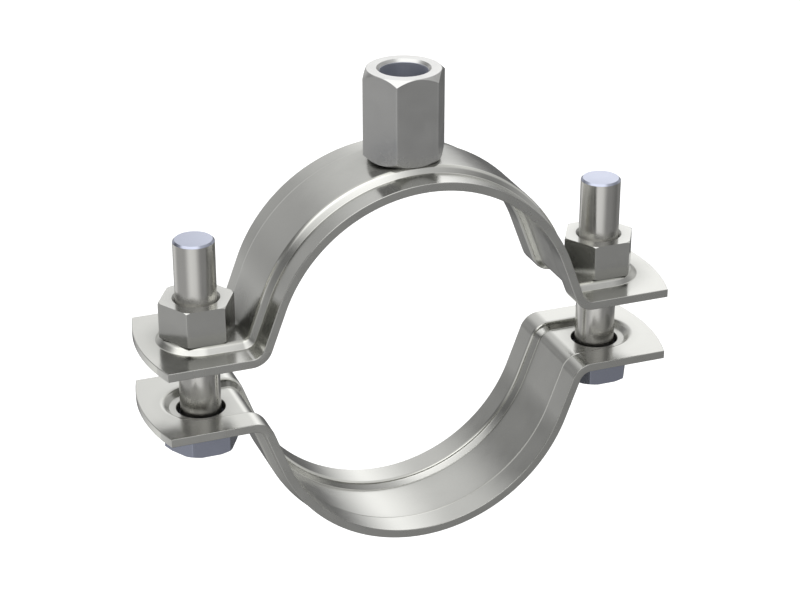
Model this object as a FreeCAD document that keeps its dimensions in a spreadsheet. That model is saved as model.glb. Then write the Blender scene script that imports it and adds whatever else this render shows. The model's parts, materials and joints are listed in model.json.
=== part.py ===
import FreeCAD, Part
import math
import os
import Sketcher

# Split ring hanger for a pipe. Two pressed steel straps close round the pipe, a hexagon boss
# welded on the top strap takes the hanger rod, and a bolt and nut at each side draw the
# straps together. The pipe runs along Y, the ears reach out along X and the rod comes down
# along Z. The origin is the centre of the upper strap's pipe seat. All lengths are in
# millimetres and all angles in degrees.

doc = FreeCAD.newDocument("split_ring_hanger")
sizes = doc.addObject("Spreadsheet::Sheet", "sizes")

DRIVING_SIZES = [
    ("pipe_diameter", "60.3", "outside of the pipe that is held"),
    ("pipe_clearance", "0.1", "room between the pipe and its seat"),
    ("strip_width", "26", "width of the steel strip"),
    ("strip_thickness", "1.7", "thickness of the steel strip"),
    ("flare_angle", "20.5", "lean of the side walls from upright"),
    ("bend_radius", "4.2", "bend from side wall to ear, on the pipe side"),
    ("ear_gap", "12", "gap between upper and lower ears before tightening"),
    ("seat_margin", "0.05", "flat left between a hexagon's end face and the ear's bend"),
    ("ear_overhang", "9.4", "ear's straight edge past the bolt axis"),
    ("ear_end_radius", "39.5", "radius of the ear's curved end"),
    ("rib_height", "1.2", "how far the pressed rib stands out"),
    ("rib_top_width", "13.6", "flat top of the pressed rib"),
    ("bolt_hole_clearance", "0.7", "room round the bolt in its ear hole"),
    ("bolt_diameter", "8", "bolt shank"),
    ("bolt_length", "37.1", "bolt length under its head"),
    ("bolt_end_chamfer", "0.4", "chamfer on the bolt's free end"),
    ("head_height", "5.9", "bolt head"),
    ("bolt_across_flats", "13", "hexagon of the bolt heads and nuts"),
    ("bolt_corner_trim", "0.75", "turned off each corner of a bolt hexagon's end face"),
    ("bolt_trim_angle", "30", "slope of the corner trim on heads and nuts"),
    ("nut_height", "7.3", "nut"),
    ("thread_clearance", "0.05", "room between bolt and nut thread"),
    ("nut_countersink_width", "9.2", "mouth of the nut's bore"),
    ("boss_across_flats", "14.4", "hexagon of the rod boss"),
    ("boss_height", "17.5", "rod boss"),
    ("boss_corner_trim", "1.2", "turned off each corner of the boss's end face"),
    ("boss_trim_angle", "45", "slope of the boss's corner trim"),
    ("rod_bore_diameter", "9.2", "middle of the M10 rod thread's flanks"),
    ("rod_countersink_width", "10.4", "mouth of the rod thread"),
    ("weld_flat_depth", "0.15", "flat pressed on the crest for the boss to sit on"),
]

# The ribs have shoulders at 45 degrees and the same wall all over, so the groove under a rib
# is narrower than the rib by the wall's share on each side.
DERIVED_SIZES = [
    ("seat_radius", "=pipe_diameter / 2 + pipe_clearance"),
    ("strip_half", "=strip_width / 2"),
    ("wall_foot", "=seat_radius / cos(flare_angle * 1 deg)"),
    ("bend_reach", "=bend_radius * tan((90 - flare_angle) / 2 * 1 deg)"),
    ("bend_start", "=wall_foot + bend_reach"),
    ("wall_length", "=seat_radius * tan(flare_angle * 1 deg) - bend_reach"),
    ("bolt_corner_radius", "=bolt_across_flats / sqrt(3)"),
    ("bolt_trim_radius", "=bolt_corner_radius - bolt_corner_trim"),
    ("bolt_trim_drop", "=bolt_corner_trim * tan(bolt_trim_angle * 1 deg)"),
    ("ear_run", "=bolt_trim_radius + seat_margin"),
    ("bolt_offset", "=bend_start + ear_run"),
    ("rib_top_half", "=rib_top_width / 2"),
    ("rib_foot_half", "=rib_top_half + rib_height"),
    ("groove_floor_half", "=rib_top_half - strip_thickness * (sqrt(2) - 1)"),
    ("groove_mouth_half", "=groove_floor_half + rib_height"),
    ("rib_top_level", "=strip_thickness + rib_height"),
    ("crest_level", "=seat_radius + rib_top_level"),
    ("bolt_radius", "=bolt_diameter / 2"),
    ("bolt_tip_radius", "=bolt_radius - bolt_end_chamfer"),
    ("bolt_chamfer_level", "=bolt_length - bolt_end_chamfer"),
    ("ear_hole_radius", "=bolt_radius + bolt_hole_clearance"),
    ("nut_bore_radius", "=bolt_radius + thread_clearance"),
    ("nut_countersink_radius", "=nut_countersink_width / 2"),
    ("nut_countersink_depth", "=nut_countersink_radius - nut_bore_radius"),
    ("boss_corner_radius", "=boss_across_flats / sqrt(3)"),
    ("boss_trim_radius", "=boss_corner_radius - boss_corner_trim"),
    ("boss_trim_drop", "=boss_corner_trim * tan(boss_trim_angle * 1 deg)"),
    ("rod_bore_radius", "=rod_bore_diameter / 2"),
    ("rod_countersink_radius", "=rod_countersink_width / 2"),
    ("rod_countersink_depth", "=rod_countersink_radius - rod_bore_radius"),
    ("boss_seat_level", "=crest_level - weld_flat_depth"),
]

for row, (alias, text, meaning) in enumerate(DRIVING_SIZES, start=1):
    sizes.set(f"A{row}", text)
    sizes.setAlias(f"A{row}", alias)
    sizes.set(f"B{row}", meaning)
for row, (alias, formula) in enumerate(DERIVED_SIZES, start=len(DRIVING_SIZES) + 2):
    sizes.set(f"A{row}", formula)
    sizes.setAlias(f"A{row}", alias)
doc.recompute()


def number(terms):
    """Value of a few named sizes added up, such as 'seat_radius + strip_thickness'."""
    total = 0.0
    sign = 1
    for word in terms.split():
        if word in "+-":
            sign = 1 if word == "+" else -1
        elif word != "0":
            total += sign * float(sizes.get(word))
    return total


def expression(terms):
    """The same sum as a formula that reads the sheet."""
    words = [f"sizes.{word}" if word.isidentifier() else word for word in terms.split()]
    return " ".join(words)


def new_body(name):
    body = doc.addObject("PartDesign::Body", name)
    body.Label = name
    return body


def origin_feature(body, role):
    for feature in body.Origin.OriginFeatures:
        if feature.Role == role:
            return feature


def new_sketch(body, name, plane, shift=("0", "0", "0")):
    """A sketch on one of the body's own origin planes, shifted within it and along its normal."""
    sketch = body.newObject("Sketcher::SketchObject", name)
    sketch.AttachmentSupport = [(origin_feature(body, plane), "")]
    sketch.MapMode = "FlatFace"
    for letter, terms in zip("xyz", shift):
        if terms != "0":
            sketch.setExpression(f"AttachmentOffset.Base.{letter}", expression(terms))
    doc.recompute()
    return sketch


def hold_point(sketch, piece, end, across, up):
    """Ties a point of the sketch to named sizes, measured from the sketch's origin."""
    for kind, axis, terms in (("DistanceX", -2, across), ("DistanceY", -1, up)):
        if terms == "0":
            sketch.addConstraint(Sketcher.Constraint("PointOnObject", piece, end, axis))
        else:
            rule = Sketcher.Constraint(kind, -1, 1, piece, end, number(terms))
            index = sketch.addConstraint(rule)
            sketch.setExpression(f"Constraints[{index}]", expression(terms))


def draw_outline(sketch, corners):
    """A closed outline of straight lines through corners given by named sizes."""
    points = [FreeCAD.Vector(number(across), number(up), 0) for across, up in corners]
    for index, start in enumerate(points):
        end = points[(index + 1) % len(points)]
        sketch.addGeometry(Part.LineSegment(start, end), False)
    for index, (across, up) in enumerate(corners):
        before = (index - 1) % len(corners)
        sketch.addConstraint(Sketcher.Constraint("Coincident", before, 2, index, 1))
        hold_point(sketch, index, 1, across, up)


def draw_hexagon(sketch, corner_radius):
    """A regular hexagon with two corners on the sketch's X axis."""
    radius = number(corner_radius)
    turns = [FreeCAD.Rotation(FreeCAD.Vector(0, 0, 1), 60 * index) for index in range(6)]
    points = [turn.multVec(FreeCAD.Vector(radius, 0, 0)) for turn in turns]
    for index, start in enumerate(points):
        sketch.addGeometry(Part.LineSegment(start, points[(index + 1) % 6]), False)
    up = FreeCAD.Vector(0, 0, 1)
    rim = sketch.addGeometry(Part.Circle(FreeCAD.Vector(0, 0, 0), up, radius), True)
    sketch.addConstraint(Sketcher.Constraint("Coincident", rim, 3, -1, 1))
    size = sketch.addConstraint(Sketcher.Constraint("Radius", rim, radius))
    sketch.setExpression(f"Constraints[{size}]", expression(corner_radius))
    sketch.addConstraint(Sketcher.Constraint("PointOnObject", 0, 1, -1))
    for index in range(6):
        sketch.addConstraint(Sketcher.Constraint("Coincident", (index - 1) % 6, 2, index, 1))
        sketch.addConstraint(Sketcher.Constraint("PointOnObject", index, 1, rim))
    for index in range(1, 6):
        sketch.addConstraint(Sketcher.Constraint("Equal", 0, index))


def draw_circle(sketch, radius, across="0"):
    up = FreeCAD.Vector(0, 0, 1)
    centre = FreeCAD.Vector(number(across), 0, 0)
    index = sketch.addGeometry(Part.Circle(centre, up, number(radius)), False)
    hold_point(sketch, index, 3, across, "0")
    rule = sketch.addConstraint(Sketcher.Constraint("Radius", index, number(radius)))
    sketch.setExpression(f"Constraints[{rule}]", expression(radius))


def draw_ear_end(sketch):
    """The ear beyond the bolt: straight edges that end in one shallow arc."""
    half = number("strip_half")
    bolt = number("bolt_offset")
    corner = bolt + number("ear_overhang")
    radius = number("ear_end_radius")
    centre = FreeCAD.Vector(corner - math.sqrt(radius ** 2 - half ** 2), 0, 0)
    half_turn = math.asin(half / radius)
    low = FreeCAD.Vector(corner, -half, 0)
    high = FreeCAD.Vector(corner, half, 0)
    inner_low = FreeCAD.Vector(bolt, -half, 0)
    inner_high = FreeCAD.Vector(bolt, half, 0)
    circle = Part.Circle(centre, FreeCAD.Vector(0, 0, 1), radius)
    sketch.addGeometry(Part.LineSegment(inner_low, low), False)
    sketch.addGeometry(Part.ArcOfCircle(circle, -half_turn, half_turn), False)
    sketch.addGeometry(Part.LineSegment(high, inner_high), False)
    sketch.addGeometry(Part.LineSegment(inner_high, inner_low), False)
    for before, end, after, start in ((0, 2, 1, 1), (1, 2, 2, 1), (2, 2, 3, 1), (3, 2, 0, 1)):
        sketch.addConstraint(Sketcher.Constraint("Coincident", before, end, after, start))
    hold_point(sketch, 0, 1, "bolt_offset", "- strip_half")
    hold_point(sketch, 0, 2, "bolt_offset + ear_overhang", "- strip_half")
    hold_point(sketch, 2, 1, "bolt_offset + ear_overhang", "strip_half")
    hold_point(sketch, 2, 2, "bolt_offset", "strip_half")
    rule = sketch.addConstraint(Sketcher.Constraint("Radius", 1, radius))
    sketch.setExpression(f"Constraints[{rule}]", expression("ear_end_radius"))


def add_pad(body, name, sketch, length, downwards=False):
    pad = body.newObject("PartDesign::Pad", name)
    pad.Profile = sketch
    pad.setExpression("Length", expression(length))
    pad.Reversed = downwards
    doc.recompute()
    return pad


def turn_profile(body, kind, name, sketch, angle=360):
    """Revolution or Groove of a sketch round its own upright axis, evenly to both sides."""
    feature = body.newObject(f"PartDesign::{kind}", name)
    feature.Profile = sketch
    feature.ReferenceAxis = (sketch, ["V_Axis"])
    feature.Angle = angle
    feature.Midplane = angle < 360
    doc.recompute()
    return feature


def checked_cut(body, feature, before):
    """Stops the build if a cut has taken nothing away."""
    if body.Shape.Volume > before - 1e-3:
        raise RuntimeError(f"{feature.Label} cuts nothing")


def draw_rib_section(sketch, level="0"):
    """Cross-section of the strip, pressed out along its middle; level is its pipe side."""
    base = "" if level == "0" else level + " + "
    draw_outline(sketch, [
        ("- strip_half", level),
        ("- groove_mouth_half", level),
        ("- groove_floor_half", base + "rib_height"),
        ("groove_floor_half", base + "rib_height"),
        ("groove_mouth_half", level),
        ("strip_half", level),
        ("strip_half", base + "strip_thickness"),
        ("rib_foot_half", base + "strip_thickness"),
        ("rib_top_half", base + "rib_top_level"),
        ("- rib_top_half", base + "rib_top_level"),
        ("- rib_foot_half", base + "strip_thickness"),
        ("- strip_half", base + "strip_thickness"),
    ])


def face_towards(body, direction):
    """Name of the body's flat face that looks most nearly in a direction."""
    names = {}
    for index, face in enumerate(body.Shape.Faces, start=1):
        if face.Surface.TypeId == "Part::GeomPlane":
            names[f"Face{index}"] = face.normalAt(0, 0).dot(direction)
    return max(names, key=names.get)


def pressed_strap(name):
    """One half of the ring: a strip pressed to a ribbed section, with an ear at each end."""
    body = new_body(name)
    flare = math.radians(number("flare_angle"))

    seat_section = new_sketch(body, name + "_seat_section", "YZ_Plane")
    draw_rib_section(seat_section, "seat_radius")
    seat = body.newObject("PartDesign::Revolution", name + "_seat")
    seat.Profile = seat_section
    seat.ReferenceAxis = (seat_section, ["H_Axis"])
    seat.Midplane = True
    seat.setExpression("Angle", "180 - 2 * sizes.flare_angle")
    doc.recompute()

    wall_direction = FreeCAD.Vector(math.sin(flare), 0, -math.cos(flare))
    wall = body.newObject("PartDesign::Pad", name + "_wall")
    wall.Profile = (seat, [face_towards(body, wall_direction)])
    wall.setExpression("Length", expression("wall_length"))
    doc.recompute()

    bend_section = new_sketch(body, name + "_bend_section", "YZ_Plane", ("0", "0", "bend_start"))
    draw_rib_section(bend_section)
    radius = number("bend_radius")
    half = number("strip_half")
    ends = (FreeCAD.Vector(-half, radius, 0), FreeCAD.Vector(half, radius, 0))
    bend_axis = bend_section.addGeometry(Part.LineSegment(*ends), True)
    hold_point(bend_section, bend_axis, 1, "- strip_half", "bend_radius")
    hold_point(bend_section, bend_axis, 2, "strip_half", "bend_radius")
    bend = body.newObject("PartDesign::Revolution", name + "_bend")
    bend.Profile = bend_section
    bend.ReferenceAxis = (bend_section, ["Axis0"])
    bend.setExpression("Angle", "90 - sizes.flare_angle")
    doc.recompute()
    ear_run = add_pad(body, name + "_ear_run", bend_section, "ear_run")

    ear_outline = new_sketch(body, name + "_ear_outline", "XY_Plane")
    draw_ear_end(ear_outline)
    ear = add_pad(body, name + "_ear", ear_outline, "strip_thickness")
    rib_side = new_sketch(body, name + "_rib_end_side", "XZ_Plane", ("bolt_offset", "0", "0"))
    draw_outline(rib_side, [
        ("0", "0"),
        ("rib_foot_half", "0"),
        ("rib_foot_half", "strip_thickness"),
        ("rib_top_half", "rib_top_level"),
        ("0", "rib_top_level"),
    ])
    rib_end = turn_profile(body, "Revolution", name + "_rib_end", rib_side, 180)
    groove_side = new_sketch(body, name + "_groove_side", "XZ_Plane", ("bolt_offset", "0", "0"))
    draw_outline(groove_side, [
        ("0", "0"),
        ("groove_mouth_half", "0"),
        ("groove_floor_half", "rib_height"),
        ("0", "rib_height"),
    ])
    before = body.Shape.Volume
    groove_end = turn_profile(body, "Groove", name + "_groove_end", groove_side, 180)
    checked_cut(body, groove_end, before)

    other_side = body.newObject("PartDesign::Mirrored", name + "_other_side")
    other_side.Originals = [wall, bend, ear_run, ear, rib_end, groove_end]
    other_side.MirrorPlane = (origin_feature(body, "YZ_Plane"), [""])
    body.Tip = other_side
    doc.recompute()

    holes = new_sketch(body, name + "_hole_outline", "XY_Plane")
    for across in ("bolt_offset", "- bolt_offset"):
        draw_circle(holes, "ear_hole_radius", across)
    before = body.Shape.Volume
    cut = body.newObject("PartDesign::Pocket", name + "_bolt_holes")
    cut.Profile = holes
    cut.Type = "ThroughAll"
    cut.Midplane = True
    doc.recompute()
    checked_cut(body, cut, before)
    return body


def weld_flat(body):
    """A narrow flat across the top of the rib, for the boss to stand on."""
    level = ("0", "0", "boss_seat_level")
    outline = new_sketch(body, body.Label + "_flat_outline", "XY_Plane", level)
    draw_circle(outline, "boss_corner_radius")
    before = body.Shape.Volume
    flat = body.newObject("PartDesign::Pocket", body.Label + "_weld_flat")
    flat.Profile = outline
    flat.setExpression("Length", expression("weld_flat_depth"))
    flat.Reversed = True
    doc.recompute()
    checked_cut(body, flat, before)


def hexagon_bar(body, corner_radius, height, downwards=False):
    outline = new_sketch(body, body.Label + "_hexagon", "XY_Plane")
    draw_hexagon(outline, corner_radius)
    add_pad(body, body.Label + "_bar", outline, height, downwards)


def trim_corners(body, end, corner_radius, end_radius, drop, level="0", outwards=1):
    """Turns the hexagon's corners down to a cone at one end; level is that end's height."""
    inner_side = level + (" - " if outwards > 0 else " + ") + drop
    side = new_sketch(body, f"{body.Label}_{end}_trim_side", "XZ_Plane")
    draw_outline(side, [(end_radius, level), (corner_radius, level), (corner_radius, inner_side)])
    before = body.Shape.Volume
    trim = turn_profile(body, "Groove", f"{body.Label}_{end}_trim", side)
    checked_cut(body, trim, before)


def through_bore(body, height, bore, mouth, mouth_depth):
    """A bore through a hexagon bar, countersunk at both ends."""
    side = new_sketch(body, body.Label + "_bore_side", "XZ_Plane")
    draw_outline(side, [
        ("0", "0"),
        (mouth, "0"),
        (bore, mouth_depth),
        (bore, f"{height} - {mouth_depth}"),
        (mouth, height),
        ("0", height),
    ])
    before = body.Shape.Volume
    cut = turn_profile(body, "Groove", body.Label + "_bore", side)
    checked_cut(body, cut, before)


def place(body, across, up):
    """Sets a body at named sizes along X and Z."""
    body.setExpression("Placement.Base.x", expression(across))
    body.setExpression("Placement.Base.z", expression(up))


def rod_boss():
    """Hexagon bar tapped for the hanger rod, welded upright on the upper strap's crest."""
    body = new_body("rod_boss")
    hexagon_bar(body, "boss_corner_radius", "boss_height")
    for end, level, outwards in (("lower", "0", -1), ("upper", "boss_height", 1)):
        trim_corners(body, end, "boss_corner_radius", "boss_trim_radius", "boss_trim_drop",
                     level, outwards)
    through_bore(body, "boss_height", "rod_bore_radius", "rod_countersink_radius",
                 "rod_countersink_depth")
    place(body, "0", "boss_seat_level")


def hexagon_nut(side, across):
    """A hexagon nut standing on the upper ear's rib."""
    body = new_body(side + "_nut")
    hexagon_bar(body, "bolt_corner_radius", "nut_height")
    for end, level, outwards in (("lower", "0", -1), ("upper", "nut_height", 1)):
        trim_corners(body, end, "bolt_corner_radius", "bolt_trim_radius", "bolt_trim_drop",
                     level, outwards)
    through_bore(body, "nut_height", "nut_bore_radius", "nut_countersink_radius",
                 "nut_countersink_depth")
    place(body, across, "rib_top_level")


def hexagon_bolt(side, across):
    """A hexagon-head bolt pushed up through both ears, its head against the lower one."""
    body = new_body(side + "_bolt")
    hexagon_bar(body, "bolt_corner_radius", "head_height", True)
    for end, level, outwards in (("lower", "- head_height", -1), ("upper", "0", 1)):
        trim_corners(body, end, "bolt_corner_radius", "bolt_trim_radius", "bolt_trim_drop",
                     level, outwards)
    shank_side = new_sketch(body, body.Label + "_shank_side", "XZ_Plane")
    draw_outline(shank_side, [
        ("0", "0"),
        ("bolt_radius", "0"),
        ("bolt_radius", "bolt_chamfer_level"),
        ("bolt_tip_radius", "bolt_length"),
        ("0", "bolt_length"),
    ])
    turn_profile(body, "Revolution", body.Label + "_shank", shank_side)
    place(body, across, "- ear_gap - rib_top_level")


upper_strap = pressed_strap("upper_strap")
weld_flat(upper_strap)
lower_strap = pressed_strap("lower_strap")
lower_strap.Placement.Rotation = FreeCAD.Rotation(FreeCAD.Vector(1, 0, 0), 180)
place(lower_strap, "0", "- ear_gap")
rod_boss()
for side, across in (("left", "- bolt_offset"), ("right", "bolt_offset")):
    hexagon_bolt(side, across)
    hexagon_nut(side, across)
doc.recompute()

for item in doc.Objects:
    if "Invalid" in item.State or "Error" in item.State:
        raise RuntimeError(f"{item.Label} failed: {item.State}")
bodies = [item for item in doc.Objects if item.TypeId == "PartDesign::Body"]
for body in bodies:
    if body.Shape.isNull() or not body.Shape.isValid() or len(body.Shape.Solids) != 1:
        raise RuntimeError(f"{body.Label} is not one sound solid")

os.makedirs("parts", exist_ok=True)
for body in bodies:
    body.Shape.exportStep(f"parts/{body.Label}.step")
    box = body.Shape.BoundBox
    corners = (box.XMin, box.YMin, box.ZMin, box.XMax, box.YMax, box.ZMax)
    print(body.Label, [round(corner, 3) for corner in corners], round(body.Shape.Volume, 1))
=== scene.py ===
import json
import math

import bmesh
import bpy
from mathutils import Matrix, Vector


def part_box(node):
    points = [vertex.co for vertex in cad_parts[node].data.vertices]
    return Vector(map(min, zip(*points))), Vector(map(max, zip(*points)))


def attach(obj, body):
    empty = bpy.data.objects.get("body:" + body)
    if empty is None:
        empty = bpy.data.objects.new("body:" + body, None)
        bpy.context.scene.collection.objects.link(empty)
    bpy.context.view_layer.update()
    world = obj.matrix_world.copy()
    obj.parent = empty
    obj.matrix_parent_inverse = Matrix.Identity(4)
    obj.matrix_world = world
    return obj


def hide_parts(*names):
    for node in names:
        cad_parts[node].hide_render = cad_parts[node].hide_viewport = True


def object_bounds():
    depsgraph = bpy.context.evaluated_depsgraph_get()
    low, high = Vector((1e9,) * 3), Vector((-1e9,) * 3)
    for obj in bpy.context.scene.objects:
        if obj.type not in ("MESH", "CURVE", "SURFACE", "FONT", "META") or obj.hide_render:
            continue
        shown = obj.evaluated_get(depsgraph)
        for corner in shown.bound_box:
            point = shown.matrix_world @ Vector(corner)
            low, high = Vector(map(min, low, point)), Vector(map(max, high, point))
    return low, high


# Split ring hanger. Two pressed straps close round a pipe, a hexagon boss on the upper one takes
# the hanger rod, and a bolt and nut at each side draw them together. Z is up along the rod,
# Y runs along the pipe and X from bolt to bolt, in metres from the upper seat's centre.
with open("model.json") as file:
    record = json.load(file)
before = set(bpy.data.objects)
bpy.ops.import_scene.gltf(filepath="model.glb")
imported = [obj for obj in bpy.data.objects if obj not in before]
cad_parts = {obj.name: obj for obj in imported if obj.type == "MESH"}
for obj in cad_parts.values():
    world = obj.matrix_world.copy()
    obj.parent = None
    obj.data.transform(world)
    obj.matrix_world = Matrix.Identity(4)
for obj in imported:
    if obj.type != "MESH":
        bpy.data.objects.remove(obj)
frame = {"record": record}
cad_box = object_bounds()

# Pressed straps. Each is one steel strip, 1.7 mm thick, pressed out along its middle to a rib,
# bent to a half ring with an ear at each end and pierced for the bolts. The rib's shoulders carry
# a painted highlight. Both straps are zinc plated, and the lower one is the same pressing turned
# over.
MM = 0.001
mounts = {mount["name"]: mount for mount in frame["record"]["mounts"]}
seat_radius = mounts["upper_pipe_seat"]["dims"]["r_mm"] * MM
strap_low, strap_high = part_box("upper_strap")
bolt_low, bolt_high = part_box("right_bolt")
strip_half = strap_high.y
ear_tip = strap_high.x
crest = strap_high.z
bolt_offset = (bolt_low.x + bolt_high.x) / 2
ear_gap = strap_low.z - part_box("lower_strap")[1].z
strip_thickness = 1.7 * MM
rib_height = 1.2 * MM
rib_top_level = strip_thickness + rib_height
rib_top_half = 6.8 * MM
rib_foot_half = rib_top_half + rib_height
groove_floor_half = rib_top_half - strip_thickness * (math.sqrt(2) - 1)
groove_mouth_half = groove_floor_half + rib_height
outer_rounding = 1.6 * MM
inner_rounding = 0.3 * MM
sheared_rounding = 0.15 * MM
flare_angle = math.radians(20.5)
seat_half_angle = math.pi / 2 - flare_angle
bend_radius = 4.2 * MM
bend_reach = bend_radius * math.tan(seat_half_angle / 2)
bend_start = seat_radius / math.cos(flare_angle) + bend_reach
wall_length = seat_radius * math.tan(flare_angle) - bend_reach
ear_end_radius = 39.5 * MM
ear_end_centre = ear_tip - ear_end_radius
ear_corner = ear_end_centre + math.sqrt(ear_end_radius ** 2 - strip_half ** 2)
bolt_hole_radius = 4.7 * MM
rounding_steps = 6
seat_steps = 60
bend_steps = 20
rib_end_steps = 40
tiny = 1e-6
shortest_edge = 4e-6
sharp_angle = math.radians(28)
strap_colour = (0.72, 0.72, 0.688)
strap_grain = (120, 2600, 120)
strap_roughness = 0.18
# Painted shade: how much the straps' colour darkens in corners and under parts.
strap_corner_shade = 0.6
# Painted shade in the bolt holes, which are also made rougher.
hole_shade_tint = (0.4, 0.4, 0.38)
hole_rim_roughening = 0.3
# Painted highlight on the rib's sloping shoulders.
shoulder_highlight_tint = (1.2, 1.2, 1.18)
shoulder_roughening = -0.03
shoulder_facing = (0.05, 0.25, 0.5, 0.68)
sheared_tint = (0.95, 0.95, 0.95)
sheared_roughening = 0.1
rim_band_width = 0.15 * MM
corner_reach = 6 * MM
corner_blur = 0.2
cloud_size = 4 * MM
cloud_tints = (0.94, 1.04)
cloud_range = (0.3, 0.7)
gloss_spread = 0.2
grain_depth = 0.0004 * MM
grain_strength = 0.5


def clear_selection():
    """Leaves object mode with nothing selected."""
    if bpy.context.object and bpy.context.object.mode == "EDIT":
        bpy.ops.object.mode_set(mode="OBJECT")
    bpy.ops.object.select_all(action="DESELECT")


def pick(piece):
    """Object mode with this piece alone selected, and active."""
    clear_selection()
    piece.select_set(True)
    bpy.context.view_layer.objects.active = piece


def edit(piece):
    """Edit mode on one piece, all of it selected."""
    pick(piece)
    bpy.ops.object.mode_set(mode="EDIT")
    bpy.ops.mesh.select_all(action="SELECT")


def draw_line(name, points):
    """A new piece in edit mode: one line through the points, all of it selected."""
    clear_selection()
    bpy.ops.mesh.primitive_plane_add(size=MM, location=(0, 0, 0))
    piece = bpy.context.object
    piece.name = name
    bpy.ops.object.mode_set(mode="EDIT")
    bpy.ops.mesh.select_mode(type="VERT")
    bpy.ops.mesh.merge(type="CENTER")
    bpy.ops.transform.translate(value=points[0])
    for before, after in zip(points, points[1:]):
        step = Vector(after) - Vector(before)
        bpy.ops.mesh.extrude_vertices_move(TRANSFORM_OT_translate={"value": step})
    bpy.ops.mesh.select_all(action="SELECT")
    return piece


def close_skin():
    """Merges the edited skin's seams, turns its faces outwards and leaves edit mode."""
    bpy.ops.mesh.select_all(action="SELECT")
    bpy.ops.mesh.remove_doubles(threshold=tiny)
    bpy.ops.mesh.normals_make_consistent(inside=False)
    clear_selection()


def rounded_corners(corners):
    """An outline's points; each corner is (across, up, rounding) and becomes a short arc."""
    points = []
    for index, (across, up, rounding) in enumerate(corners):
        corner = Vector((across, up))
        if rounding == 0:
            points.append(corner)
            continue
        before = (Vector(corners[index - 1][:2]) - corner).normalized()
        after = (Vector(corners[(index + 1) % len(corners)][:2]) - corner).normalized()
        half_inside = before.angle(after) / 2
        reach = rounding / math.tan(half_inside)
        centre = corner + (before + after).normalized() * rounding / math.sin(half_inside)
        start = (corner + before * reach - centre).normalized()
        end = (corner + after * reach - centre).normalized()
        for step in range(rounding_steps + 1):
            points.append(centre + start.slerp(end, step / rounding_steps) * rounding)
    return points


def use_modifier(piece, kind, **settings):
    """Adds one modifier and applies it."""
    pick(piece)
    modifier = piece.modifiers.new(kind.lower(), kind)
    for key, value in settings.items():
        setattr(modifier, key, value)
    bpy.ops.object.modifier_apply(modifier=modifier.name)


def combine(piece, tool, how="DIFFERENCE"):
    """Cuts a tool's shape out of a piece, adds it, or keeps only what both share."""
    use_modifier(piece, "BOOLEAN", object=tool, operation=how, solver="EXACT")
    bpy.data.objects.remove(tool)


def turned(name, profile, steps, across=0):
    """A turned shape, from (radius, level) points that run from axis to axis."""
    piece = draw_line(name, [(across + radius, 0, level) for radius, level in profile])
    bpy.ops.mesh.spin(steps=steps, angle=2 * math.pi, center=(across, 0, 0), axis=(0, 0, 1))
    close_skin()
    return piece


def smooth(piece):
    """Smooth shading over round stretches, with flat faces left flat."""
    edit(piece)
    bpy.ops.mesh.remove_doubles(threshold=shortest_edge)
    pick(piece)
    bpy.ops.object.shade_smooth_by_angle(angle=sharp_angle)
    use_modifier(piece, "WEIGHTED_NORMAL", keep_sharp=True)


def copy_piece(piece, name):
    """A second piece with a mesh of its own."""
    twin = piece.copy()
    twin.data = piece.data.copy()
    twin.name = name
    bpy.context.scene.collection.objects.link(twin)
    return twin


def strip_section():
    """The strip's half section: the outer face from the middle, its edge, and the pipe side."""
    return rounded_corners([
        (0, rib_top_level, 0),
        (rib_top_half, rib_top_level, outer_rounding),
        (rib_foot_half, strip_thickness, inner_rounding),
        (strip_half, strip_thickness, sheared_rounding),
        (strip_half, 0, sheared_rounding),
        (groove_mouth_half, 0, outer_rounding),
        (groove_floor_half, rib_height, inner_rounding),
        (0, rib_height, 0),
    ])


def ear_reach(angle):
    """How far the ear's outline lies from the bolt axis, at this angle from +X."""
    to_end = bolt_offset - ear_end_centre
    sideways = to_end * math.sin(angle)
    to_arc = math.sqrt(ear_end_radius ** 2 - sideways ** 2) - to_end * math.cos(angle)
    to_edge = strip_half / max(abs(math.sin(angle)), tiny)
    return min(to_arc, to_edge)


def ear_end(half_section):
    """The section turned half round the bolt axis, its rim then moved out to the ear's outline."""
    ear = draw_line("ear_end", [(bolt_offset, across, up) for across, up in half_section])
    bpy.ops.mesh.spin(steps=rib_end_steps, angle=math.pi, center=(bolt_offset, 0, 0),
                      axis=(0, 0, 1))
    turn = math.pi / rib_end_steps
    corner_angle = math.atan2(strip_half, ear_corner - bolt_offset)
    for index in range(1, rib_end_steps):
        angle = math.pi / 2 - index * turn
        outline_angle = angle
        # The spoke nearest to the outline's corner ends in the corner itself.
        if abs(abs(angle) - corner_angle) < turn / 2:
            outline_angle = math.copysign(corner_angle, angle)
        spoke = Vector((math.cos(angle), math.sin(angle), 0))
        outwards = Vector((math.cos(outline_angle), math.sin(outline_angle), 0))
        bpy.ops.mesh.select_all(action="DESELECT")
        for point in bmesh.from_edit_mesh(ear.data).verts:
            arm = Vector((point.co.x - bolt_offset, point.co.y, 0))
            if arm.length > strip_half - 2 * sheared_rounding:
                point.select = arm.angle(spoke) < turn / 4
        bpy.ops.transform.translate(value=outwards * ear_reach(outline_angle) - spoke * strip_half)
    return ear


def pierce(strap):
    """Both bolt holes, their rims slightly broken at the groove's floor and the rib's top."""
    rim = sheared_rounding
    wide = bolt_hole_radius + 2 * rim
    drill = [(0, -bend_radius), (wide, -bend_radius), (wide, rib_height - rim),
             (bolt_hole_radius, rib_height + rim), (bolt_hole_radius, rib_top_level - rim),
             (wide, rib_top_level + rim), (wide, rib_top_level + bend_radius),
             (0, rib_top_level + bend_radius)]
    for side in (-1, 1):
        combine(strap, turned("drill", drill, 2 * rib_end_steps, side * bolt_offset))


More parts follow.
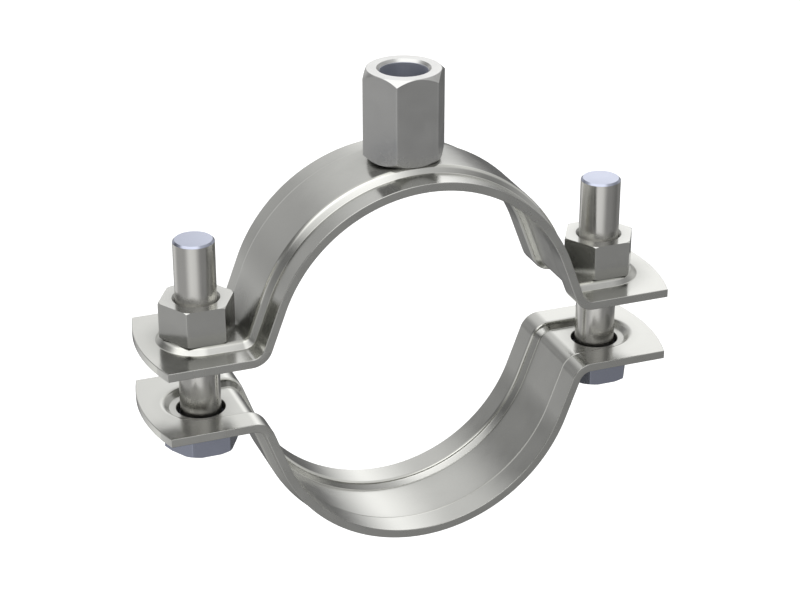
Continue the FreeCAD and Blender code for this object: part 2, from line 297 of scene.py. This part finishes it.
def pressed_strap(name):
    """The upper strap: half is swept from crest to ear, closed by the ear's end, and mirrored."""
    half_section = strip_section()
    section = half_section + [Vector((-across, up)) for across, up in half_section[-2:0:-1]]
    loop = [(0, across, seat_radius + up) for across, up in section + section[:1]]
    strap = draw_line(name, loop)
    bpy.ops.mesh.remove_doubles(threshold=tiny)
    bpy.ops.mesh.spin(steps=seat_steps, angle=seat_half_angle, center=(0, 0, 0), axis=(0, -1, 0))
    wall = Vector((math.sin(flare_angle), 0, -math.cos(flare_angle))) * wall_length
    bpy.ops.mesh.extrude_region_move(TRANSFORM_OT_translate={"value": wall})
    bpy.ops.mesh.spin(steps=bend_steps, angle=seat_half_angle,
                      center=(bend_start, 0, bend_radius), axis=(0, 1, 0))
    run = Vector((bolt_offset - bend_start, 0, 0))
    bpy.ops.mesh.extrude_region_move(TRANSFORM_OT_translate={"value": run})
    ear = ear_end(half_section)
    pick(strap)
    ear.select_set(True)
    bpy.ops.object.join()
    use_modifier(strap, "MIRROR", merge_threshold=tiny)
    edit(strap)
    close_skin()
    pierce(strap)
    return strap


def work_out(tree, operation, *values):
    """One Math node; each value is a number or another node's output."""
    node = tree.nodes.new("ShaderNodeMath")
    node.operation = operation
    for socket, value in zip(node.inputs, values):
        if isinstance(value, (int, float)):
            socket.default_value = value
        else:
            tree.links.new(value, socket)
    return node.outputs["Value"]


def mix_colours(tree, how, share, first, second):
    """One Mix node, whose colours are its inputs 6 and 7; each may be another node's output."""
    node = tree.nodes.new("ShaderNodeMix")
    node.data_type = "RGBA"
    node.blend_type = how
    for index, value in ((0, share), (6, first), (7, second)):
        if isinstance(value, bpy.types.NodeSocket):
            tree.links.new(value, node.inputs[index])
        else:
            node.inputs[index].default_value = value
    return node.outputs[2]


def zinc_plate(name, colour, grain, roughness, painted_shade=0.1):
    """Bright zinc: cloudy colour and gloss, fine grain (cycles a metre), corners with painted
    shade and blurred gloss.
    """
    material = bpy.data.materials.new(name)
    material.use_nodes = True
    tree = material.node_tree
    nodes = tree.nodes
    link = tree.links.new
    shader = nodes["Principled BSDF"]
    shader.inputs["Metallic"].default_value = 1
    place = nodes.new("ShaderNodeTexCoord").outputs["Object"]

    clouds = nodes.new("ShaderNodeTexNoise")
    clouds.inputs["Scale"].default_value = 1 / cloud_size
    clouds.inputs["Detail"].default_value = 3
    link(place, clouds.inputs["Vector"])
    dim, bright = [[part * factor for part in colour] + [1] for factor in cloud_tints]
    cloudy = mix_colours(tree, "MIX", clouds.outputs["Fac"], dim, bright)
    # Painted shade: ambient occlusion darkens the colour in corners, creases and under other
    # parts.
    corners = nodes.new("ShaderNodeAmbientOcclusion")
    corners.samples = 16
    corners.inputs["Distance"].default_value = corner_reach
    openness = corners.outputs["AO"]
    shade = work_out(tree, "MULTIPLY_ADD", openness, painted_shade, 1 - painted_shade)
    link(mix_colours(tree, "MULTIPLY", 1, cloudy, shade), shader.inputs["Base Color"])

    gloss = nodes.new("ShaderNodeMapRange")
    gloss.inputs["From Min"].default_value, gloss.inputs["From Max"].default_value = cloud_range
    gloss.inputs["To Min"].default_value = roughness * (1 - gloss_spread)
    gloss.inputs["To Max"].default_value = roughness * (1 + gloss_spread)
    link(clouds.outputs["Fac"], gloss.inputs["Value"])
    blur = work_out(tree, "MULTIPLY_ADD", openness, -corner_blur, corner_blur)
    link(work_out(tree, "ADD", gloss.outputs["Result"], blur), shader.inputs["Roughness"])

    stretch = nodes.new("ShaderNodeMapping")
    stretch.inputs["Scale"].default_value = grain
    link(place, stretch.inputs["Vector"])
    lines = nodes.new("ShaderNodeTexNoise")
    lines.inputs["Scale"].default_value = 1
    lines.inputs["Detail"].default_value = 2
    link(stretch.outputs["Vector"], lines.inputs["Vector"])
    relief = nodes.new("ShaderNodeBump")
    relief.inputs["Strength"].default_value = grain_strength
    relief.inputs["Distance"].default_value = grain_depth
    link(lines.outputs["Fac"], relief.inputs["Height"])
    link(relief.outputs["Normal"], shader.inputs["Normal"])
    return material


def of_each_spot(material, what):
    """X, Y and Z of each spot's place ("Object") or of its facing ("Normal"), for masks."""
    split = material.node_tree.nodes.new("ShaderNodeSeparateXYZ")
    source = material.node_tree.nodes.new("ShaderNodeTexCoord").outputs[what]
    material.node_tree.links.new(source, split.inputs["Vector"])
    return split.outputs["X"], split.outputs["Y"], split.outputs["Z"]


def from_axis(material, across):
    """How far each spot lies from the upright lines at this distance to either side."""
    tree = material.node_tree
    x, y, _ = of_each_spot(material, "Object")
    sideways = work_out(tree, "SUBTRACT", work_out(tree, "ABSOLUTE", x), across)
    squares = work_out(tree, "MULTIPLY_ADD", sideways, sideways, work_out(tree, "MULTIPLY", y, y))
    return work_out(tree, "SQRT", squares)


def fade(material, value, start, end):
    """A mask that rises softly from 0 at the start to 1 at the end."""
    ramp = material.node_tree.nodes.new("ShaderNodeMapRange")
    ramp.interpolation_type = "SMOOTHSTEP"
    ramp.inputs["From Min"].default_value = start
    ramp.inputs["From Max"].default_value = end
    material.node_tree.links.new(value, ramp.inputs["Value"])
    return ramp.outputs["Result"]


def tint(material, mask, colour, roughening):
    """Multiplies the colour and adds to the roughness wherever the mask is 1."""
    tree = material.node_tree
    shader = tree.nodes["Principled BSDF"]
    base = shader.inputs["Base Color"]
    tinted = mix_colours(tree, "MULTIPLY", mask, base.links[0].from_socket, (*colour, 1))
    tree.links.new(tinted, base)
    rough = shader.inputs["Roughness"]
    rougher = work_out(tree, "MULTIPLY_ADD", mask, roughening, rough.links[0].from_socket)
    tree.links.new(rougher, rough)


upper_strap = pressed_strap("upper_pressing")
lower_strap = copy_piece(upper_strap, "lower_pressing")
edit(lower_strap)
# Both mirrored axes together are a half turn about X, so the faces still point outwards.
bpy.ops.transform.resize(value=(1, -1, -1), center_override=(0, 0, 0))
bpy.ops.transform.translate(value=(0, 0, -ear_gap))
edit(upper_strap)
bpy.ops.mesh.bisect(plane_co=(0, 0, crest), plane_no=(0, 0, 1), threshold=tiny,
                    clear_outer=True, use_fill=True)
strap_zinc = zinc_plate("zinc_on_rolled_strip", strap_colour, strap_grain, strap_roughness,
                        strap_corner_shade)
# Painted shade on the bolt holes' walls and a thin rim round them, which are also made rougher.
hole_wall_shade = fade(strap_zinc, from_axis(strap_zinc, bolt_offset),
               bolt_hole_radius + rim_band_width, bolt_hole_radius + rim_band_width / 2)
tint(strap_zinc, hole_wall_shade, hole_shade_tint, hole_rim_roughening)
strap_tree = strap_zinc.node_tree
from_middle = work_out(strap_tree, "ABSOLUTE", of_each_spot(strap_zinc, "Object")[1])
sideways = work_out(strap_tree, "ABSOLUTE", of_each_spot(strap_zinc, "Normal")[1])
# Painted highlight: the rib's sloping shoulders are brightened, picked out by which way they face.
flat, near_flat, near_slope, slope = shoulder_facing
shoulder = work_out(strap_tree, "MINIMUM", fade(strap_zinc, sideways, flat, near_flat),
                    fade(strap_zinc, sideways, slope, near_slope))
on_rib = work_out(strap_tree, "LESS_THAN", from_middle, rib_foot_half + rib_height)
painted_shoulder_highlight = work_out(strap_tree, "MULTIPLY", shoulder, on_rib)
tint(strap_zinc, painted_shoulder_highlight, shoulder_highlight_tint, shoulder_roughening)
sheared = fade(strap_zinc, from_middle, strip_half - rim_band_width, strip_half)
tint(strap_zinc, sheared, sheared_tint, sheared_roughening)
for strap, body, node in ((upper_strap, "upper_half", "upper_strap"),
                          (lower_strap, "lower_half", "lower_strap")):
    smooth(strap)
    strap.data.materials.append(strap_zinc)
    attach(strap, body)
    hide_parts(node)

# Rod boss. Hexagon bar with its corners turned down at both ends, drilled and tapped for the
# hanger rod, zinc plated and welded upright on the narrow flat at the upper strap's crest.
boss_low, boss_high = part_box("rod_boss")
boss_half_flats = boss_high.y
boss_corner_trim = 1.2 * MM
boss_trim_angle = math.radians(45)
rod_bore_radius = 4.6 * MM
rod_countersink_radius = 5.2 * MM
machined_rounding = 0.05 * MM
hexagon_rounding = 0.03 * MM
turned_facets = 144
boss_colour = (0.72, 0.72, 0.705)
boss_grain = (1800, 1800, 60)
boss_roughness = 0.22
bore_tint = (0.95, 0.98, 1.1)
bore_roughening = 0.35
# Painted highlight on the hexagons' upright corners.
corner_highlight_tint = (1.06, 1.06, 1.06)


def hexagon_bar(name, half_flats, low, high, corner_trim, trim_angle):
    """A hexagon with two corners along X, its corners turned down to a cone at both ends."""
    corner = half_flats / math.cos(math.pi / 6)
    clear_selection()
    bpy.ops.mesh.primitive_cylinder_add(vertices=6, radius=corner, depth=high - low,
                                        location=(0, 0, (low + high) / 2),
                                        rotation=(0, 0, math.pi / 2))
    bar = bpy.context.object
    bar.name = name
    bpy.ops.object.transform_apply(location=True, rotation=True)
    edit(bar)
    bpy.ops.mesh.select_mode(type="EDGE")
    bpy.ops.mesh.select_all(action="DESELECT")
    for edge in bmesh.from_edit_mesh(bar.data).edges:
        one, other = (point.co.z for point in edge.verts)
        edge.select_set(abs(one - other) > (high - low) / 2)
    bpy.ops.mesh.bevel(offset=hexagon_rounding, segments=2)
    face = corner - corner_trim
    blank_radius = 1.2 * corner
    drop = (blank_radius - face) * math.tan(trim_angle)
    blank = rounded_corners([(0, low, 0), (face, low, machined_rounding),
                             (blank_radius, low + drop, 0), (blank_radius, high - drop, 0),
                             (face, high, machined_rounding), (0, high, 0)])
    combine(bar, turned("blank", blank, turned_facets), "INTERSECT")
    return bar


def drill_through(piece, bore, mouth, low, high):
    """A bore that opens at 45 degrees to a countersink's mouth at both faces."""
    slope = mouth - bore
    drill = rounded_corners([(0, low - slope, 0), (mouth + slope, low - slope, 0),
                             (bore, low + slope, machined_rounding),
                             (bore, high - slope, machined_rounding),
                             (mouth + slope, high + slope, 0), (0, high + slope, 0)])
    combine(piece, turned("drill", drill, turned_facets))


def paint_corner_highlights(material, half_flats, across):
    """Paints a highlight on the upright corners of hexagons whose axes stand this far to either
    side.
    """
    corner = half_flats / math.cos(math.pi / 6)
    corner_highlight = fade(material, from_axis(material, across), corner - 2 * rim_band_width, corner)
    tint(material, corner_highlight, corner_highlight_tint, 0)


boss = hexagon_bar("tapped_boss", boss_half_flats, boss_low.z, boss_high.z, boss_corner_trim,
                   boss_trim_angle)
drill_through(boss, rod_bore_radius, rod_countersink_radius, boss_low.z, boss_high.z)
smooth(boss)
boss_zinc = zinc_plate("zinc_on_drawn_bar", boss_colour, boss_grain, boss_roughness)
bored = fade(boss_zinc, from_axis(boss_zinc, 0), rod_bore_radius + rim_band_width, rod_bore_radius)
tint(boss_zinc, bored, bore_tint, bore_roughening)
paint_corner_highlights(boss_zinc, boss_half_flats, 0)
boss.data.materials.append(boss_zinc)
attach(boss, "upper_half")
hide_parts("rod_boss")

# Bolts. M8 hexagon-head bolts pushed up through both ears, heads under the lower one. They are
# cold formed steel, zinc plated, with a faint blue passivation that shows on head and tip.
bolt_half_flats = bolt_high.y
head_height = 5.9 * MM
head_top = bolt_low.z + head_height
bolt_corner_trim = 0.75 * MM
fastener_trim_angle = math.radians(30)
shank_radius = 4 * MM
tip_chamfer = 0.4 * MM
bolt_colour = (0.74, 0.73, 0.7)
bolt_roughness = 0.2
blue_tint = (0.73, 0.78, 0.98)
fine_grain = (1500, 1500, 1500)


def fit_pair(right_piece, finish):
    """Finishes a fastener made on the Z axis, copies it and moves both to their bolt axes."""
    smooth(right_piece)
    right_piece.data.materials.append(finish)
    left_piece = copy_piece(right_piece, right_piece.name.replace("right", "left"))
    for piece, across in ((right_piece, bolt_offset), (left_piece, -bolt_offset)):
        edit(piece)
        bpy.ops.transform.translate(value=(across, 0, 0))
        clear_selection()
        node = piece.name.replace("hexagon_", "")
        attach(piece, node)
        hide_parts(node)


right_bolt = hexagon_bar("right_hexagon_bolt", bolt_half_flats, bolt_low.z, head_top,
                         bolt_corner_trim, fastener_trim_angle)
shank = rounded_corners([(0, head_top - head_height / 2, 0),
                         (shank_radius, head_top - head_height / 2, 0),
                         (shank_radius, bolt_high.z - tip_chamfer, machined_rounding),
                         (shank_radius - tip_chamfer, bolt_high.z, machined_rounding),
                         (0, bolt_high.z, 0)])
combine(right_bolt, turned("shank", shank, turned_facets), "UNION")
bolt_zinc = zinc_plate("blued_zinc", bolt_colour, fine_grain, bolt_roughness)
shank_middle = (head_top + bolt_high.z - tip_chamfer) / 2
on_shank = work_out(bolt_zinc.node_tree, "COMPARE", of_each_spot(bolt_zinc, "Object")[2],
                    shank_middle, shank_middle - head_top)
tint(bolt_zinc, work_out(bolt_zinc.node_tree, "SUBTRACT", 1, on_shank), blue_tint, 0)
paint_corner_highlights(bolt_zinc, bolt_half_flats, bolt_offset)
fit_pair(right_bolt, bolt_zinc)

# Nuts. M8 hexagon nuts on the bolts, chamfered and countersunk at both faces, seated on the
# upper ears' ribs. They are zinc plated like the straps, and a little glossier.
nut_low, nut_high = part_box("right_nut")
nut_bore_radius = 4.05 * MM
nut_countersink_radius = 4.6 * MM
nut_corner_trim = 0.36 * MM
nut_colour = (0.735, 0.735, 0.705)
nut_roughness = 0.14
# Painted shade: how much the nuts' colour darkens in corners and under parts.
nut_corner_shade = 0.5

right_nut = hexagon_bar("right_hexagon_nut", nut_high.y, nut_low.z, nut_high.z,
                        nut_corner_trim, fastener_trim_angle)
drill_through(right_nut, nut_bore_radius, nut_countersink_radius, nut_low.z, nut_high.z)
nut_zinc = zinc_plate("zinc_on_nuts", nut_colour, fine_grain, nut_roughness, nut_corner_shade)
paint_corner_highlights(nut_zinc, nut_high.y, bolt_offset)
fit_pair(right_nut, nut_zinc)

# Camera. It looks at the ring as in the photograph, from in front, a little left and above.
view_azimuth = math.radians(-21.056)
view_elevation = math.radians(25.489)
camera_place = (-0.1378, -0.3559, 0.18433)
film_width = 36
lens_length = 96.86
clear_selection()
bpy.ops.object.camera_add(location=camera_place,
                          rotation=(math.pi / 2 - view_elevation, 0, view_azimuth))
camera = bpy.context.object
camera.data.sensor_width = film_width
camera.data.lens = lens_length
bpy.context.scene.camera = camera

# Floor. Pale matt paint, well below the hanging ring, with the ring's soft shadow. The lift makes
# it near white to the lens and lights nothing.
floor_drop = 0.1
floor_half = 30
floor_level = cad_box[0][2] - floor_drop
floor_grey = 0.8
floor_roughness = 0.9
floor_lift = 0.7
clear_selection()
bpy.ops.mesh.primitive_plane_add(size=2 * floor_half, location=(0, 0, floor_level))
floor = bpy.context.object
floor.name = "floor"
floor.visible_glossy = False
floor_paint = bpy.data.materials.new("floor_paint")
floor_paint.use_nodes = True
nodes = floor_paint.node_tree.nodes
link = floor_paint.node_tree.links.new
matt = nodes["Principled BSDF"]
matt.inputs["Base Color"].default_value = (floor_grey, floor_grey, floor_grey, 1)
matt.inputs["Roughness"].default_value = floor_roughness
matt.inputs["Specular IOR Level"].default_value = 0
matt.inputs["Emission Color"].default_value = (1, 1, 1, 1)
seen_by_lens = nodes.new("ShaderNodeLightPath").outputs["Is Camera Ray"]
link(work_out(floor_paint.node_tree, "MULTIPLY", seen_by_lens, floor_lift),
     matt.inputs["Emission Strength"])
floor.data.materials.append(floor_paint)

# Studio light. Round soft boxes and low reflectors stand about the ring, each with azimuth,
# elevation, radius and softness of its rim in degrees, and a strength. The lens sees plain white
# behind them.
room_light = 0.14
soft_boxes = [(-145, 66, 34, 8, 0.8), (71, 78, 49, 12, 0.5), (62, 20, 9, 19, 1.45),
              (93, 10, 24, 14, 0.4), (18, 9, 24, 22, 0.42), (-85, 24, 30, 22, 0.31),
              (-60, -30, 30, 30, 0.12), (-115, -26, 24, 18, 0.6), (118, -25, 18, 14, 0.5),
              (180, -28, 45, 20, 0.25), (122, 9, 8, 14, 0.16), (166, 4, 10, 14, 0.35)]
world = bpy.data.worlds.new("studio")
bpy.context.scene.world = world
world.use_nodes = True
nodes = world.node_tree.nodes
link = world.node_tree.links.new
towards = nodes.new("ShaderNodeTexCoord").outputs["Generated"]
light = room_light
for azimuth, elevation, radius, softness, strength in soft_boxes:
    around = math.radians(azimuth)
    up = math.radians(elevation)
    facing = nodes.new("ShaderNodeVectorMath")
    facing.operation = "DOT_PRODUCT"
    facing.inputs[1].default_value = (math.cos(up) * math.cos(around),
                                      math.cos(up) * math.sin(around), math.sin(up))
    link(towards, facing.inputs[0])
    falloff = nodes.new("ShaderNodeMapRange")
    falloff.interpolation_type = "SMOOTHSTEP"
    falloff.inputs["From Min"].default_value = math.radians(radius + softness)
    falloff.inputs["From Max"].default_value = math.radians(radius - softness)
    falloff.inputs["To Max"].default_value = strength
    link(work_out(world.node_tree, "ARCCOSINE", facing.outputs["Value"]), falloff.inputs["Value"])
    light = work_out(world.node_tree, "ADD", falloff.outputs["Result"], light)
seen_by_lens = nodes.new("ShaderNodeLightPath").outputs["Is Camera Ray"]
background = nodes["Background"]
link(work_out(world.node_tree, "MAXIMUM", light, seen_by_lens), background.inputs["Strength"])
background.inputs["Color"].default_value = (1, 1, 1, 1)
bpy.context.scene.view_settings.view_transform = "Standard"
